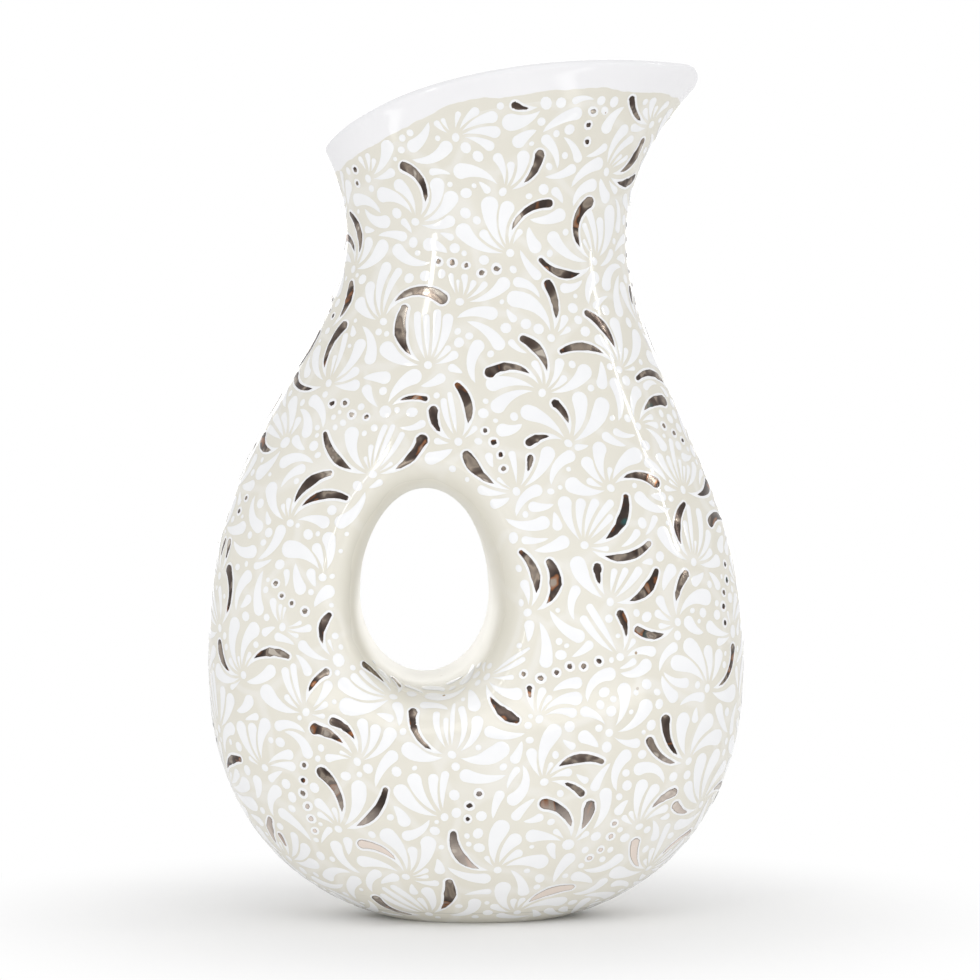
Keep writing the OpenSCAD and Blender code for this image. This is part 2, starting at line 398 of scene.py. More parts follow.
# Platinum strokes, each on a white stroke that is wider by the halo
HALO = 0.00075
LUSTRE_HALF = 0.0016
LUSTRE_SHORTEST = 0.0085
LUSTRE_TIP = 0.00025
LUSTRE_THINNEST = 0.00012
LUSTRE_CURL = (1.0, 1.7)
LUSTRE_LONG = (1.1, 1.35)
LUSTRE_BOLD = (0.85, 1.4)
LUSTRE_TAPER = 0.9
LUSTRE_ASIDE = (-0.5, 0.5)
HALO_OPENS = 3
CRESCENTS = 0.4
CRESCENT_BEGINS = 0.04
CRESCENT_TURN = 0.78
BRUSH = (0.82, 1.08)
BRUSH_PLACES = 12

# Rows of dots, with a platinum dot on each
ROW_TRIES = 900
ROW_ROOM = 0.005
ROW_APART = 0.046
ROW_LEAN = 35
ROW_DRIFT = (-0.05, 0.05)
ROW_COUNTS = (2, 3, 3, 4, 4, 5, 6)
ROW_DOT = (0.0016, 0.0021)
ROW_ASIDE = (-0.0015, 0.0015)
ROW_STEPS = (6, 6, 7)

# The dot in each fan's focus, and dots and loose strokes for the gaps: smallest and largest radius
# and the number of tries, round by round
FOCUS_DOT = 0.0022
FOCUS_SMALLEST = 0.0008
FILLERS = ((0.0017, 0.0023, 9000), (0.0012, 0.0018, 14000), (0.0008, 0.0013, 14000))
DOT_LARGEST = 0.0019
TAILED_FROM = 0.001
TAIL_WAYS = 6
TAIL_TURN = (0.03, 0.1)
TAIL_LONGEST = 6
TAIL_SHORTEST = 3.0
TAIL_GAP = 0.8 * GAP
TAIL_HALF = 0.0003
TAIL_TIP = 0.00015
TAIL_TAPER = 0.6

chance = random.Random(SEED)
draw = np.random.default_rng(SEED)


def painted_sheets():
    """Corners and quads of the skin that is painted on."""
    corners = []
    quads = []
    for sheet in (front_outer[::-1], mirrored(front_outer), liner_outer, neck_outer, rim_outer,
                  base_edge, foot_outer):
        count = len(sheet[0])
        for r in range(len(sheet) - 1):
            start = len(corners) + r * count
            for c in range(count):
                d = (c + 1) % count
                quads.append((start + c, start + d, start + count + d, start + count + c))
        for ring in sheet:
            corners.extend(ring.tolist())
    return corners, quads


corners, quads = painted_sheets()
skin = BVHTree.FromPolygons(corners, quads)


def on_skin(point):
    """The nearest place on the skin and the skin's normal there."""
    return skin.find_nearest(point)[:2]


def room(point):
    """Distance from a point of the skin to where the painter stops."""
    x, y, z = point
    across = x - HOLE_X
    rise = z - HOLE_WIDE_Z
    far = math.hypot(across, rise)
    height = HOLE_UP if rise > 0 else HOLE_DOWN
    hole = 1 / math.hypot(across / far / (HOLE_W / 2), rise / far / height)
    below = min(1, max(0, (-rise / far - BELOW_FROM) / BELOW_BLEND))
    bare = HOLE_BARE - (HOLE_BARE + OVER_EDGE) * below
    if far - hole < HOLE_BARE:
        return min(far - hole - bare, abs(y) - LINER_L / 2 - THROAT_BARE)
    if z < NECK_JOINT_Z:
        return min(far - hole - bare, z - FOOT_BARE)
    return edge_over(x, y, z) - RIM_BAND - z


def scattered(count):
    """Points spread evenly by chance over the skin."""
    points = np.array(corners)
    a, b, c, d = (points[np.array(quads)[:, i]] for i in range(4))
    first_half = np.linalg.norm(np.cross(b - a, c - a), axis=1)
    area = first_half + np.linalg.norm(np.cross(c - a, d - a), axis=1)
    pick = draw.choice(len(quads), size=count, p=area / area.sum())
    u = draw.random((count, 1))
    v = draw.random((count, 1))
    near = a[pick] * (1 - u) + b[pick] * u
    far = d[pick] * (1 - u) + c[pick] * u
    return [Vector(p) for p in near * (1 - v) + far * v]


def turned(way, normal, angle):
    return way * math.cos(angle) + normal.cross(way) * math.sin(angle)


def upward(normal):
    """The way up over the skin, or along the tunnel where the skin lies level."""
    up = Vector((0, 0, 1)) - normal * normal.z
    if up.length < LEVEL_SKIN:
        up = Vector((0, 1, 0)) - normal * normal.y
    return up.normalized()


def stepped(place, normal, heading, turn):
    """One step over the skin along a heading that turns a little."""
    heading = turned(heading, normal, turn)
    place, normal = on_skin(place + heading * STEP)
    heading = heading - normal * heading.dot(normal)
    return place, normal, heading.normalized()


class Painted:
    """The painted places as circles, kept in boxes so that near ones are found fast."""

    SIZE = 0.006

    def __init__(self, dots):
        self.boxes = {}
        for place, radius in dots:
            self.add(place, radius)

    def box(self, place):
        return tuple(math.floor(c / self.SIZE) for c in place)

    def add(self, place, radius, owner=None):
        self.boxes.setdefault(self.box(place), []).append((place, radius, owner))

    def add_stroke(self, stroke):
        for (place, normal, heading), half in zip(stroke.spine, stroke.halves):
            self.add(place, half)

    def clearance(self, place, skip=None):
        """Distance to the nearest painted circle, without those of one owner."""
        x, y, z = self.box(place)
        best = self.SIZE
        for i in (x - 1, x, x + 1):
            for j in (y - 1, y, y + 1):
                for k in (z - 1, z, z + 1):
                    for other, radius, owner in self.boxes.get((i, j, k), ()):
                        if skip is None or owner is not skip:
                            best = min(best, (place - other).length - radius)
        return best


def over_head(share):
    """Angle round a stroke's head, from its widest place to its end, at a share of the stroke."""
    return max(0, share - TAIL_SHARE) / (1 - TAIL_SHARE) * math.pi / 2


class Stroke:
    """A teardrop along a walked line: a thin tail, then a round head."""

    def __init__(self, spine, halves, lustre=False):
        self.spine = spine
        self.halves = halves
        self.head = halves[-1]
        self.centre = (len(halves) - 1) * STEP
        self.lustre = lustre
        self.aside = chance.uniform(*LUSTRE_ASIDE) * HALO
        self.brush = [chance.uniform(*BRUSH) for i in range(BRUSH_PLACES)]
        wide = [i for i, half in enumerate(halves) if half > HALO + LUSTRE_TIP]
        self.lustre_start = wide[0] * STEP if wide else 0
        for i in range(math.ceil(self.head / STEP) + 1 + len(halves) - len(spine)):
            spine.append(stepped(*spine[-1], 0))

    def middle(self):
        return self.spine[len(self.halves) // 2][0]

    def at(self, along):
        """Place, normal and heading at a distance along the spine."""
        i = min(int(along / STEP), len(self.spine) - 2)
        share = along / STEP - i
        (p, n, h), (q, m, g) = self.spine[i], self.spine[i + 1]
        return p.lerp(q, share), n, h.lerp(g, share)

    def section(self, share, inset):
        """Distance along the spine and half width, from the tail's tip to the head's end."""
        if share < TAIL_SHARE:
            start = self.lustre_start if inset else 0
            along = start + (self.centre - start) * share / TAIL_SHARE
            i = min(int(along / STEP), len(self.halves) - 2)
            part = along / STEP - i
            half = self.halves[i] * (1 - part) + self.halves[i + 1] * part
            return along, max(LUSTRE_THINNEST, half - inset)
        angle = over_head(share)
        head = self.head - inset
        return self.centre + head * math.sin(angle), head * math.cos(angle)


class Fan:
    """A half flower: petals that spring from one place and curl, evenly or all to one side."""

    def __init__(self, place):
        self.focus, self.normal = on_skin(place)
        lean = math.radians(chance.gauss(0, FAN_LEAN))
        self.axis = turned(upward(self.normal), self.normal, lean)
        self.reach = chance.uniform(*FAN_REACH)
        self.step = math.radians(chance.uniform(*PETALS_APART))
        curl = chance.uniform(*FAN_CURL)
        if chance.random() < EVEN_FANS:
            half_count = round(math.radians(chance.uniform(*EVEN_HALF_SPREAD)) / self.step)
            angles = [self.step * k for k in range(-half_count, half_count + 1)]
            curls = [(-curl * math.sin(a), -curl * math.cos(a)) for a in angles]
        else:
            side = chance.choice((-1, 1))
            first = math.radians(chance.uniform(*SWEPT_FROM))
            count = round(math.radians(chance.uniform(*SWEPT_SPREAD)) / self.step)
            angles = [side * (first + self.step * k) for k in range(count)]
            curls = [(-side * curl, 0)] * count
        dark = chance.sample(range(len(angles)), chance.choice(LUSTRE_COUNTS))
        self.petals = [Petal(self, angle, *curls[k], k in dark) for k, angle in enumerate(angles)]


class Petal:
    """One teardrop of a fan while it grows from the fan's focus."""

    def __init__(self, fan, angle, curl, spread, lustre):
        self.fan = fan
        self.lustre = lustre
        if lustre:
            curl = math.copysign(chance.uniform(*LUSTRE_CURL), curl)
            spread = 0
        self.crescent = chance.random() < CRESCENTS
        self.bold = chance.uniform(*LUSTRE_BOLD)
        self.spread = spread
        self.turn = curl * chance.uniform(*CURL_CHANGE) * STEP / fan.reach
        self.reach = fan.reach * chance.uniform(*(LUSTRE_LONG if lustre else PETAL_LONG))
        self.first = round(PETAL_START * chance.uniform(*START_CHANGE) / STEP)
        self.fat = chance.uniform(*PETAL_FAT)
        heading = turned(fan.axis, fan.normal, angle + chance.uniform(*HEADING_CHANGE))
        self.spine = [(fan.focus, fan.normal, heading)]
        self.growing = True

    def lustre_half(self, share):
        """Half width of a platinum stroke with its halo: a crescent or a teardrop."""
        if self.crescent:
            belly = math.sin(math.pi * (CRESCENT_BEGINS + CRESCENT_TURN * share))
        else:
            belly = share ** LUSTRE_TAPER
        return LUSTRE_HALF * self.bold * belly + HALO * min(1, HALO_OPENS * share)

    def half(self, i):
        """Half width, within what the petal's neighbours in the fan leave it."""
        radius = i * STEP
        opened = 1 + PETAL_OPENING * self.spread * radius / self.fan.reach
        free = radius * math.tan(self.fan.step / 2) * opened - GAP / 2
        if self.lustre:
            return min(self.lustre_half(radius / self.reach), max(PETAL_THINNEST, free))
        return min(PETAL_HALF, max(PETAL_THINNEST, free)) * self.fat

    def crowded(self, place, i):
        """Whether a neighbour in the fan has bent into this petal's way."""
        for other in self.fan.petals:
            if other is not self:
                end = min(i + CROWDED_STEPS + 1, len(other.spine))
                for k in range(max(0, i - CROWDED_STEPS), end):
                    apart = (place - other.spine[k][0]).length
                    if apart < self.half(i) + other.half(k) + 0.5 * GAP:
                        return True
        return False

    def grow(self):
        there = stepped(*self.spine[-1], self.turn)
        i = len(self.spine)
        if i > self.first:
            half = self.half(i)
            ended = i * STEP > self.reach or room(there[0]) < half + GAP
            ended = ended or painted.clearance(there[0], self.fan) < half + GAP
            ended = ended or i * STEP > CROWDED_FROM and self.crowded(there[0], i)
            if ended:
                self.growing = False
            else:
                painted.add(there[0], half, self.fan)
        if self.growing:
            self.spine.append(there)

    def stroke(self):
        spine = self.spine[self.first:]
        if len(spine) * STEP < PETAL_SHORTEST:
            return None
        halves = []
        for i in range(len(spine)):
            tip = min(1, (i + TIP_BEGINS) / TIP_STEPS) ** 0.5
            halves.append(self.half(self.first + i) * tip)
        return Stroke(spine, halves, self.lustre and len(spine) * STEP > LUSTRE_SHORTEST)


def dot_rows():
    """Short rows of dots that wander up or down, each dot with its radius."""
    starts = []
    rows = []
    for place in scattered(ROW_TRIES):
        if room(place) < ROW_ROOM or any((place - s).length < ROW_APART for s in starts):
            continue
        starts.append(place)
        place, normal = on_skin(place)
        heading = turned(upward(normal), normal, math.radians(chance.gauss(0, ROW_LEAN)))
        drift = chance.uniform(*ROW_DRIFT)
        walk = place, normal, heading
        for k in range(chance.choice(ROW_COUNTS)):
            side = turned(walk[2], walk[1], math.pi / 2)
            radius = chance.uniform(*ROW_DOT)
            dot = on_skin(walk[0] + side * chance.uniform(*ROW_ASIDE))[0]
            if room(dot) > radius + GAP:
                rows.append((dot, radius))
            for i in range(chance.choice(ROW_STEPS)):
                walk = stepped(*walk, drift)
    return rows


def fan_distance(p, q):
    """Distance in fans, which take more room sideways than up, as they open upward."""
    aside = math.hypot(p.x - q.x, p.y - q.y)
    return math.hypot(aside / FAN_WIDE, (p.z - q.z) / FAN_HIGH)


def fan_places():
    """Places for the fans, a little closer in each round."""
    places = []
    for share in FAN_ROUNDS:
        for p in scattered(FAN_TRIES):
            if any(fan_distance(p, q) < share for q in places):
                continue
            if room(p) > FAN_ROOM and painted.clearance(p) > FAN_CLEARANCE:
                places.append(p)
    return places


def grow_petals(petals):
    """All petals grow together, step by step in a changing order, until each has no room."""
    growing = list(petals)
    while growing:
        chance.shuffle(growing)
        for petal in growing:
            petal.grow()
        growing = [petal for petal in growing if petal.growing]


def loose_tail(place, normal, radius):
    """The longest tail that a dot has room for, walked from the dot outward."""
    best = []
    begin = chance.uniform(0, math.pi)
    longest = TAIL_LONGEST * radius
    for k in range(TAIL_WAYS):
        way = begin + k * 2 * math.pi / TAIL_WAYS
        walk = place, normal, turned(upward(normal), normal, way)
        spine = [walk]
        turn = chance.choice((-1, 1)) * chance.uniform(*TAIL_TURN)
        while len(spine) * STEP < longest:
            walk = stepped(*walk, turn)
            half = max(TAIL_HALF, radius * (1 - len(spine) * STEP / longest))
            if room(walk[0]) < half + GAP or painted.clearance(walk[0]) < half + TAIL_GAP:
                break
            spine.append(walk)
        if len(spine) > len(best):
            best = spine
    return best


def loose_stroke(spine, radius):
    """A stroke with its head where the walk began."""
    count = len(spine) - 1
    back = [(p, n, -h) for p, n, h in reversed(spine)]
    halves = [max(TAIL_TIP, radius * (i / count) ** TAIL_TAPER) for i in range(count + 1)]
    return Stroke(back, halves)


def fill_gaps(smallest, largest, tries):
    """Dots, and dots drawn out to loose strokes, wherever there is room for one."""
    for place in scattered(tries):
        free = min(painted.clearance(place) - GAP, room(place) - GAP)
        if free < smallest:
            continue
        radius = min(free, largest)
        place, normal = on_skin(place)
        tail = loose_tail(place, normal, radius) if smallest > TAILED_FROM else []
        if len(tail) * STEP > TAIL_SHORTEST * radius:
            strokes.append(loose_stroke(tail, radius))
            painted.add_stroke(strokes[-1])
        else:
            dots.append((place, min(radius, DOT_LARGEST)))
            painted.add(*dots[-1])


# The rows of dots come first, then the fans with their platinum strokes before their white ones
rows = dot_rows()
painted = Painted(rows)
fans = [Fan(p) for p in fan_places()]
for fan in fans:
    painted.add(fan.focus, FOCUS_DOT, fan)
petals = [petal for fan in fans for petal in fan.petals]
grow_petals(petal for petal in petals if petal.lustre)
grow_petals(petal for petal in petals if not petal.lustre)
strokes = [stroke for stroke in (petal.stroke() for petal in petals) if stroke]

# The gaps are measured anew from the finished strokes and filled
painted = Painted(rows)
for stroke in strokes:
    painted.add_stroke(stroke)
dots = []
for fan in fans:
    radius = min(painted.clearance(fan.focus), room(fan.focus)) - GAP
    if radius > FOCUS_SMALLEST:
        dots.append((fan.focus, min(radius, FOCUS_DOT)))
        painted.add(*dots[-1])
for filler in FILLERS:
    fill_gaps(*filler)

# Heights over the glaze: where a painted shape's edge lies, its top, its hidden underside, and how
# much higher all of it lies on the roll of the hole
ENAMEL_LEVELS = (0.00004, 0.00010, -0.00022, 0.00008)
LUSTRE_LEVELS = (0.00013, 0.00021, 0.00002, 0.00006)
ROLL_ENDS = (0.75, 0.95)
STEEP_ROLL = 0.3
STEEP_EDGE = 0.4
CROWN_POWER = 0.8

# How finely the painted shapes are divided, and how uneven the dots are
TEARDROP_SIDES = 6
TEARDROP_RINGS = 12
DOT_SIDES = 10
DOT_RINGS = 4
DOT_OVAL = (0.9, 1.1)
DOT_UNEVEN = (0.8, 1.15)
LUSTRE_DOT = 0.5
POLE = 1e-4
PAINT_CREASE = math.radians(35)


def raised(place, normal, up, levels):
    """A point lifted off the glaze by its share of a painted shape's height."""
    edge, top, under, lift = levels
    across = (place.x - HOLE_X) / HOLE_W
    rise = (place.z - HOLE_WIDE_Z) / (HOLE_TOP_Z - HOLE_BOTTOM_Z)
    full, none = ROLL_ENDS
    rolled = min(1, max(0, (none - math.hypot(across, rise)) / (none - full)))
    facing = 1 - rolled * (1 - min(1, abs(normal.y) / STEEP_ROLL))
    crown = (top - edge) * facing
    edge = edge * (STEEP_EDGE + (1 - STEEP_EDGE) * facing)
    if up >= 0:
        height = edge + crown * up ** CROWN_POWER
    else:
        height = edge + (under - edge) * -up
    return place + normal * (height + lift * facing * rolled)


def along_ball(z):
    """Share of the way from the top of a ball of radius 1 to its bottom, over its side."""
    return math.acos(max(-1, min(1, z))) / math.pi


def ball_form(sides, rings, edge_share):
    """A ball to be laid on the skin, with its points; it notes how near each lies to the edge."""
    bpy.ops.mesh.primitive_uv_sphere_add(segments=sides, ring_count=rings, radius=1)
    form = bpy.context.object
    near_edge = form.data.attributes.new("near_edge", "FLOAT", "POINT")
    for i, vertex in enumerate(form.data.vertices):
        near_edge.data[i].value = edge_share(*vertex.co)
    return form, [tuple(vertex.co) for vertex in form.data.vertices]


def teardrop_edge(x, y, z):
    """A teardrop's edge, where each ring of its ball is one section of a stroke."""
    out = math.hypot(x, y)
    angle = over_head(along_ball(z))
    across = abs(y) / out * math.cos(angle) if out > POLE else 1
    return math.hypot(math.sin(angle), across)


def dot_edge(x, y, z):
    """A dot's edge, where its ball is flattened."""
    return math.hypot(x, y)


def laid_stroke(points, stroke, inset, levels):
    """The teardrop form's points laid along a stroke; an inset one lies a little aside."""
    laid = []
    for x, y, z in points:
        share = along_ball(z)
        along, half = stroke.section(share, inset)
        place, normal, heading = stroke.at(along)
        out = math.hypot(x, y)
        across = y / out if out > POLE else 0
        up = x / out if out > POLE else 0
        sideways = across * half
        if inset:
            width = stroke.brush[round(share * (BRUSH_PLACES - 1))]
            sideways = sideways * width + stroke.aside * share
        place, normal = on_skin(place + normal.cross(heading).normalized() * sideways)
        laid.append(raised(place, normal, up, levels))
    return laid


def laid_dot(points, dot, share, levels):
    """The dot form's points laid on a dot's place, a little oval; a smaller share is uneven too."""
    place, radius = dot
    normal = on_skin(place)[1]
    side = normal.orthogonal().normalized()
    other = normal.cross(side)
    turn = chance.uniform(0, math.pi)
    long = chance.uniform(*DOT_OVAL)
    uneven = [chance.uniform(*DOT_UNEVEN) if share < 1 else 1 for i in range(DOT_SIDES)]
    laid = []
    for x, y, z in points:
        bulge = uneven[round(math.atan2(y, x) / (2 * math.pi) * DOT_SIDES) % DOT_SIDES]
        x *= bulge
        y *= bulge
        u = (x * math.cos(turn) * long - y * math.sin(turn) / long) * radius * share
        v = (x * math.sin(turn) * long + y * math.cos(turn) / long) * radius * share
        laid.append(raised(*on_skin(place + side * u + other * v), z, levels))
    return laid


def painted_piece(name, form, shapes, material):
    """Copies of a form, each laid on its own place, joined into one piece."""
    copies = []
    for shape in shapes:
        copy = form.copy()
        copy.data = form.data.copy()
        copy.data.vertices.foreach_set("co", np.array(shape).ravel())
        bpy.context.scene.collection.objects.link(copy)
        copies.append(copy)
    bpy.ops.object.select_all(action="DESELECT")
    for copy in copies:
        copy.select_set(True)
    bpy.context.view_layer.objects.active = copies[0]
    bpy.ops.object.join()
    piece = bpy.context.object
    piece.name = name
    piece.data.name = name
    smoothed(PAINT_CREASE)
    piece.data.materials.append(material)
    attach(piece, "root")


def region(place):
    if place.z > NECK_JOINT_Z:
        return "neck"
    return "front" if place.y < 0 else "back"


def put(tree, socket, value):
    """Link a socket to another one, or set it to a plain value."""
    if isinstance(value, bpy.types.NodeSocket):
        tree.links.new(value, socket)
    else:
        socket.default_value = value


def add(tree, kind, inputs=None, **settings):
    """A new node with its settings, and its inputs set to values or linked to sockets."""
    node = tree.nodes.new(kind)
    for key, value in settings.items():
        setattr(node, key, value)
    for key, value in (inputs or {}).items():
        put(tree, node.inputs[key], value)
    return node


def mixed(tree, share, first, second):
    """Two colours, sockets or plain values, mixed by a share."""
    node = add(tree, "ShaderNodeMix", data_type="RGBA")
    for index, value in ((0, share), (6, first), (7, second)):
        put(tree, node.inputs[index], value)
    return node.outputs[2]


def ranged(tree, value, start, end, to_start=0.0, to_end=1.0, **settings):
    """A value taken from one range to another, and held at the ends."""
    inputs = {"Value": value, "From Min": start, "From Max": end, "To Min": to_start, "To Max": to_end}
    return add(tree, "ShaderNodeMapRange", inputs, **settings).outputs["Result"]


def worked(tree, operation, *values, **settings):
    """A sum on sockets or plain values."""
    inputs = dict(enumerate(values))
    return add(tree, "ShaderNodeMath", inputs, operation=operation, **settings).outputs[0]


def noise(tree, place, scale, detail, roughness=0.5, distortion=0.0, output="Fac"):
    """Cloudy chance values with clouds of one scale."""
    inputs = {"Vector": place, "Scale": scale, "Detail": detail, "Roughness": roughness,
              "Distortion": distortion}
    return add(tree, "ShaderNodeTexNoise", inputs).outputs[output]


def object_place(tree):
    return add(tree, "ShaderNodeTexCoord").outputs["Object"]


def noted(tree, name):
    """What the points of a mesh have noted under a name."""
    return add(tree, "ShaderNodeAttribute", attribute_name=name).outputs["Fac"]


def new_material(name):
    material = bpy.data.materials.new(name)
    material.use_nodes = True
    return material, material.node_tree, material.node_tree.nodes["Principled BSDF"]


# Finishes: thick and thin colour, scale of the clouds, shiniest and dullest polish
CREAM = ((0.755, 0.727, 0.64, 1), (0.79, 0.766, 0.688, 1), 24, 0.05, 0.12)
# The lining's colours are paler than the cream's: painted light for the shaded throat and tunnel of the
# hole.
LINING_PAINTED_LIGHTER = ((0.83, 0.808, 0.73, 1), (0.85, 0.83, 0.757, 1), 24, 0.38, 0.42)
WHITE = ((0.87, 0.868, 0.885, 1), (0.905, 0.90, 0.915, 1), 18, 0.05, 0.12)
ENAMEL = ((0.89, 0.895, 0.91, 1), (0.93, 0.935, 0.945, 1), 60, 0.05, 0.12)
CLAY = ((0.60, 0.42, 0.30, 1), (0.70, 0.52, 0.39, 1), 120, 0.6, 0.9)
GLAZE_RIPPLE = 0.012
CLAY_RIPPLE = 0.3
RIPPLE_DEPTH = 0.001
# The shared kiln tone: what comes in and out, the ends of its clouds and smears, and its rare grit
KILN_INPUTS = (("Thick", "Color"), ("Thin", "Color"), ("Cloud scale", "Float"), ("Shiniest", "Float"),
               ("Dullest", "Float"))
KILN_OUTPUTS = (("Colour", "Color"), ("Roughness", "Float"), ("Ripple", "Float"))
CLOUD_ENDS = (0.32, 0.68)
SMEARS = 55.0
SMEAR_ENDS = (0.35, 0.75)
RIPPLES = 45.0
GRIT = 90.0
GRIT_SIZE = 0.05
GRIT_RARE = 0.75
SPECK = (0.40, 0.31, 0.22, 1)
# Sketch lines between bent cells, and the rim's brushed line
SKETCH = (0.87, 0.86, 0.83, 1)
SKETCH_BENDS = 60.0
SKETCH_SHIFT = (0.008, 0.008, 0.008)
SKETCH_CELLS = 36.0
SKETCH_LINE = (0.02, 0.07)
SKETCH_SHARE = 0.4
WAVERS = 55.0
WAVER_SHIFT = 0.007
BRUSHED_FROM = RIM_BAND + 0.0033
BRUSHED_TO = RIM_BAND + 0.0036


def kiln_tone():
    """Shared effect: a glaze's cloudy tone, its changing polish and its gentle ripple."""
    group = bpy.data.node_groups.new("kiln_tone", "ShaderNodeTree")
    for way, sockets in (("INPUT", KILN_INPUTS), ("OUTPUT", KILN_OUTPUTS)):
        for name, kind in sockets:
            group.interface.new_socket(name, in_out=way, socket_type="NodeSocket" + kind)
    come = add(group, "NodeGroupInput").outputs
    place = object_place(group)
    cloud = noise(group, place, come["Cloud scale"], 5, roughness=0.6)
    share = ranged(group, cloud, *CLOUD_ENDS)
    tone = mixed(group, share, come["Thick"], come["Thin"])
    grit = add(group, "ShaderNodeTexVoronoi", {"Vector": place, "Scale": GRIT})
    near = worked(group, "LESS_THAN", grit.outputs["Distance"], GRIT_SIZE)
    pick = add(group, "ShaderNodeSeparateColor", {"Color": grit.outputs["Color"]})
    rare = worked(group, "GREATER_THAN", pick.outputs["Red"], GRIT_RARE)
    tone = mixed(group, worked(group, "MULTIPLY", near, rare), tone, SPECK)
    smear = noise(group, place, SMEARS, 2)
    polish = ranged(group, smear, *SMEAR_ENDS, come["Shiniest"], come["Dullest"])
    ripple = noise(group, place, RIPPLES, 1)
    leave = add(group, "NodeGroupOutput").inputs
    group.links.new(tone, leave["Colour"])
    group.links.new(polish, leave["Roughness"])
    group.links.new(ripple, leave["Ripple"])
    return group


kiln = kiln_tone()


def toned(tree, finish):
    """The shared kiln tone with a finish's own values."""
    return add(tree, "ShaderNodeGroup", dict(enumerate(finish)), node_tree=kiln)


def fired(name, finish, ripple):
    """A fired surface with the kiln tone; gives the material, its tree, shader and tone."""
    material, tree, shader = new_material(name)
    tone = toned(tree, finish)
    tree.links.new(tone.outputs["Colour"], shader.inputs["Base Color"])
    tree.links.new(tone.outputs["Roughness"], shader.inputs["Roughness"])
    bump = add(tree, "ShaderNodeBump", {"Strength": ripple, "Distance": RIPPLE_DEPTH,
                                        "Height": tone.outputs["Ripple"]})
    tree.links.new(bump.outputs["Normal"], shader.inputs["Normal"])
    return material, tree, shader, tone


def sketch_lines(tree, tone):
    """Faint pale arcs left in the cream by the first laying out of the pattern."""
    place = object_place(tree)
    bend = noise(tree, place, SKETCH_BENDS, 1, output="Color")
    bent = add(tree, "ShaderNodeVectorMath", {0: bend, 1: SKETCH_SHIFT, 2: place}, operation="MULTIPLY_ADD")
    cells = add(tree, "ShaderNodeTexVoronoi", {"Vector": bent.outputs[0], "Scale": SKETCH_CELLS},
                feature="DISTANCE_TO_EDGE")
    line = ranged(tree, cells.outputs["Distance"], *SKETCH_LINE, SKETCH_SHARE, 0.0)
    return mixed(tree, line, tone.outputs["Colour"], SKETCH)


def throat_haze_and_painted_light(tree, shader, tone, colour):
    """The glaze grows duller from the face into the throat of the hole, and paler: painted light that lifts
    the shade in the throat.
    """
    haze_and_painted_light = toned(tree, LINING_PAINTED_LIGHTER)
    share = noted(tree, "in_throat")
    tree.links.new(mixed(tree, share, colour, haze_and_painted_light.outputs["Colour"]), shader.inputs["Base Color"])
    polish = ranged(tree, share, 0.0, 1.0, tone.outputs["Roughness"], haze_and_painted_light.outputs["Roughness"])
    tree.links.new(polish, shader.inputs["Roughness"])


def body_glaze():
    """Cream glaze with its sketch lines, hazy in the throat, where it is also painted paler as light."""
    material, tree, shader, tone = fired("cream_glaze", CREAM, GLAZE_RIPPLE)
    throat_haze_and_painted_light(tree, shader, tone, sketch_lines(tree, tone))
    return material


def rim_glaze():
    """White glaze brushed over the cream down to a wavering line below the mouth's edge."""
    material, tree, shader, cream = fired("rim_glaze", CREAM, GLAZE_RIPPLE)
    white = toned(tree, WHITE)
    below = noted(tree, "below_mouth")
    waver = noise(tree, object_place(tree), WAVERS, 3, roughness=0.45)
    shift = worked(tree, "MULTIPLY_ADD", waver, WAVER_SHIFT, below)
    edge = ranged(tree, shift, BRUSHED_FROM, BRUSHED_TO)
    brushed = mixed(tree, edge, white.outputs["Colour"], cream.outputs["Colour"])
    tree.links.new(brushed, shader.inputs["Base Color"])
    return material


# Zones of the platinum along a cloudy value, the dark ones a painted reflection of dark surroundings; its
# painted teal reflection; where it is pale, worn and, low on the jug, a painted reflection of the bright
# floor; and its edge
# The dark and brown colours are painted reflections of dark surroundings.
PLATINUM_AND_DARK_REFLECTION = ((0.32, (0.30, 0.25, 0.21)), (0.37, (0.24, 0.10, 0.045)), (0.40, (0.045, 0.036, 0.033)),
            (0.47, (0.083, 0.062, 0.052)), (0.52, (0.13, 0.105, 0.09)), (0.56, (0.30, 0.25, 0.205)),
            (0.61, (0.20, 0.165, 0.14)), (0.66, (0.52, 0.47, 0.41)))
ZONES = 105.0
TEAL_REFLECTION = (0.03, 0.14, 0.14, 1)
TEAL_REFLECTION_SPOTS = 120.0
TEAL_REFLECTION_ENDS = (0.70, 0.82)
# Pale colour of worn platinum, which low on the jug is also a painted reflection of the bright floor.
WORN_AND_REFLECTED_PALE = (0.80, 0.70, 0.63, 1)
WORN_SPOTS = 28.0
WORN_AND_REFLECTION_ENDS = (0.55, 0.75)
FLOOR_REFLECTION_HEIGHTS = (0.075, 0.03)
FLOOR_REFLECTION_SHARES = (-0.25, 0.17)
METAL = (1.0, 0.2)
DARK_EDGE = (0.09, 0.072, 0.062, 1)
DARK_ENDS = (0.78, 0.98)
DARK_SHARE = 0.8
LUSTRE_SMEARS = 400.0
LUSTRE_POLISH = (0.1, 0.32)


def platinum_and_reflection_zones(tree, place):
    """Brown, dark and tan zones with a few teal spots: painted reflections of dark and coloured
    surroundings in the platinum's colour.
    """
    zones = noise(tree, place, ZONES, 2, distortion=0.6)
    ramp = add(tree, "ShaderNodeValToRGB", {"Fac": zones})
    marks = ramp.color_ramp.elements
    while len(marks) < len(PLATINUM_AND_DARK_REFLECTION):
        marks.new(0.5)
    for mark, (share, colour) in zip(marks, PLATINUM_AND_DARK_REFLECTION):
        mark.position = share
        mark.color = (*colour, 1)
    # Teal spots: a painted reflection of coloured surroundings.
    teal_reflection = ranged(tree, noise(tree, place, TEAL_REFLECTION_SPOTS, 1), *TEAL_REFLECTION_ENDS)
    return mixed(tree, teal_reflection, ramp.outputs["Color"], TEAL_REFLECTION)


